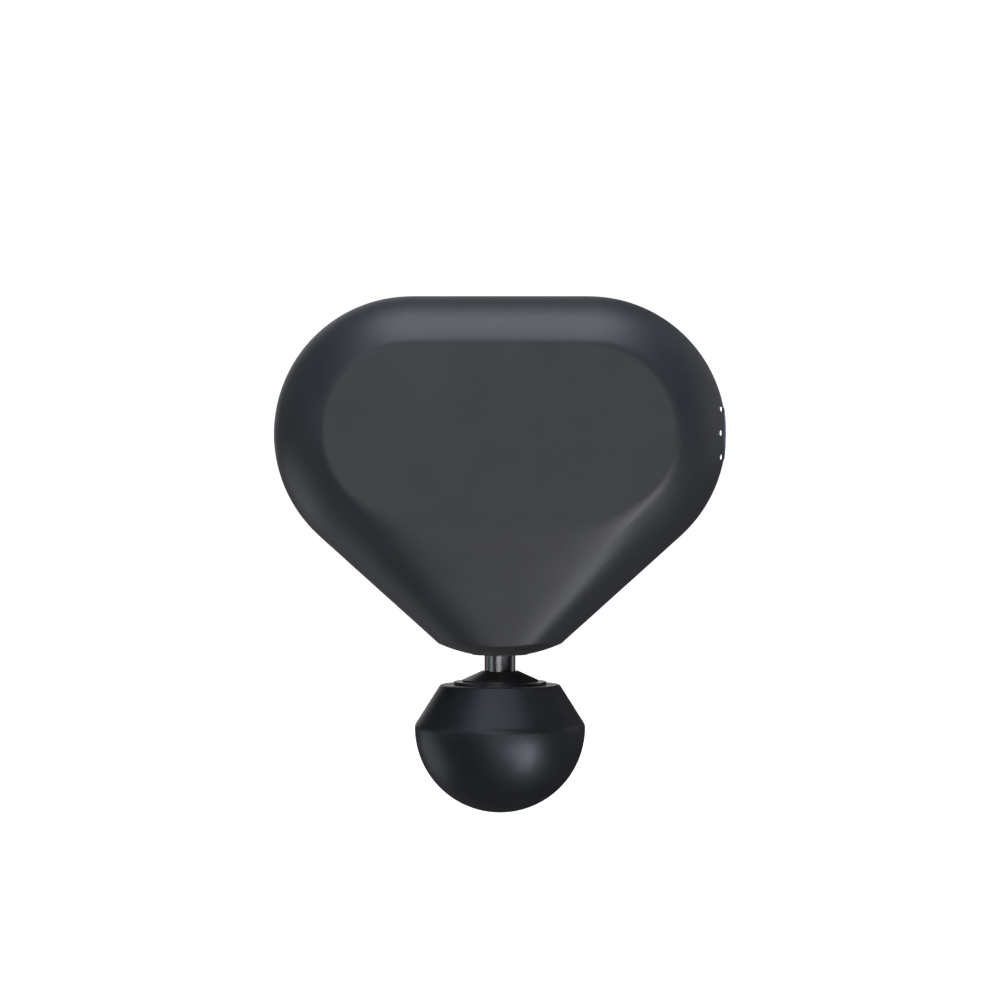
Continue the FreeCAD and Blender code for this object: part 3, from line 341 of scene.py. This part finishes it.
def paper_material():
    """White paper that shines enough to stay white."""
    made = surface("white_paper", (0.93, 0.93, 0.93), rough=0.9, spread=0.01, patch=0.3, grain=1.5 * MM,
                   bump=0.02)
    shader = shader_of(made)
    shader.inputs["Emission Color"].default_value = (1.0, 1.0, 1.0, 1.0)
    shader.inputs["Emission Strength"].default_value = BACKDROP_STRENGTH
    return made


def paper_profile():
    """Depths and heights of the paper: flat under the part, then curving up behind it."""
    profile = [(-FLOOR_HALF, 0.0), (RISE_START, 0.0)]
    for step in range(1, RISE_STEPS + 1):
        turn = math.pi / 2 * step / RISE_STEPS
        depth = RISE_START + RISE_RADIUS * math.sin(turn)
        profile.append((depth, RISE_RADIUS * (1 - math.cos(turn))))
    profile.append((RISE_START + RISE_RADIUS, RISE_TOP))
    return profile


def paper_floor():
    """A wide pale floor with a long soft rise behind."""
    profile = paper_profile()
    verts, faces = [], []
    for y, z in profile:
        verts += [(-FLOOR_HALF, y, FLOOR_HEIGHT + z), (FLOOR_HALF, y, FLOOR_HEIGHT + z)]
    for row in range(len(profile) - 1):
        faces.append((2 * row, 2 * row + 1, 2 * row + 3, 2 * row + 2))
    mesh = bpy.data.meshes.new("paper_floor")
    mesh.from_pydata(verts, [], faces)
    mesh.polygons.foreach_set("use_smooth", [True] * len(faces))
    mesh.materials.append(paper_material())
    made = bpy.data.objects.new("paper_floor", mesh)
    bpy.context.scene.collection.objects.link(made)
    # The floor is only looked at: it throws no light up on the part and hides no lamp.
    made.visible_diffuse = False
    made.visible_glossy = False
    made.visible_transmission = False
    made.visible_shadow = False
    return made


def area_light(name, place, size, power, colour=(1.0, 1.0, 1.0), size_y=None):
    """A soft box that faces the part: place and sizes in metres, power in watts."""
    data = bpy.data.lights.new(name, "AREA")
    data.shape = "RECTANGLE"
    data.size = size
    data.size_y = size_y or size
    data.energy = power
    data.color = colour
    made = bpy.data.objects.new(name, data)
    bpy.context.scene.collection.objects.link(made)
    made.location = place
    aim = Vector(AIM) - Vector(place)
    made.rotation_euler = aim.to_track_quat("-Z", "Y").to_euler()


def studio_world():
    """White where the camera looks, and a faint cool light everywhere else."""
    world = bpy.data.worlds.new("studio")
    bpy.context.scene.world = world
    world.use_nodes = True
    tree = world.node_tree
    tree.nodes.clear()
    out = node(tree, "ShaderNodeOutputWorld")
    white, cool = (1.0, 1.0, 1.0, 1.0), (0.92, 0.95, 1.0, 1.0)
    seen = node(tree, "ShaderNodeBackground", {"Color": white, "Strength": BACKDROP_STRENGTH})
    light = node(tree, "ShaderNodeBackground", {"Color": cool, "Strength": ROOM_STRENGTH})
    path = node(tree, "ShaderNodeLightPath")
    mix = node(tree, "ShaderNodeMixShader")
    link(tree, path, "Is Camera Ray", mix, 0)
    link(tree, light, "Background", mix, 1)
    link(tree, seen, "Background", mix, 2)
    link(tree, mix, "Shader", out, "Surface")


def camera():
    data = bpy.data.cameras.new("camera")
    data.lens = CAMERA_LENS_MM
    data.sensor_width = CAMERA_SENSOR_MM
    data.clip_start = CAMERA_NEAREST
    made = bpy.data.objects.new("camera", data)
    bpy.context.scene.collection.objects.link(made)
    made.location = (0.0, -CAMERA_DISTANCE, CAMERA_HEIGHT)
    made.rotation_euler = (math.pi / 2, 0.0, 0.0)
    bpy.context.scene.camera = made


camera()
studio_world()
floor = paper_floor()
area_light("overhead", (0.0, -0.10, 1.00), 0.80, 7.3, (0.85, 0.91, 1.0))
area_light("top_left", (-0.60, -0.75, 0.80), 0.45, 1.8, (0.70, 0.84, 1.0))
area_light("front_key", (-0.25, -1.40, 0.35), 0.90, 4.8, (1.0, 0.995, 0.95))
area_light("front_low", (0.0, -1.20, -0.55), 0.60, 0.95)
area_light("right_front_low", (0.42, -1.10, -0.62), 0.35, 2.9, (0.93, 0.91, 1.0))
area_light("right_strip", (0.60, -0.66, -0.66), 0.22, 4.8, (0.96, 0.98, 1.0), size_y=0.55)
area_light("left_back", (-0.85, 0.40, -0.45), 0.60, 1.1, (0.95, 0.97, 1.0))
area_light("left_side", (-1.10, -0.45, 0.15), 0.60, 0.7, (0.78, 0.95, 1.0))
area_light("right_back", (0.90, 0.40, 0.10), 0.50, 0.3)
area_light("back_fill", (-0.30, 1.45, 0.35), 0.90, 2.2)
bpy.context.scene.view_settings.view_transform = "Standard"
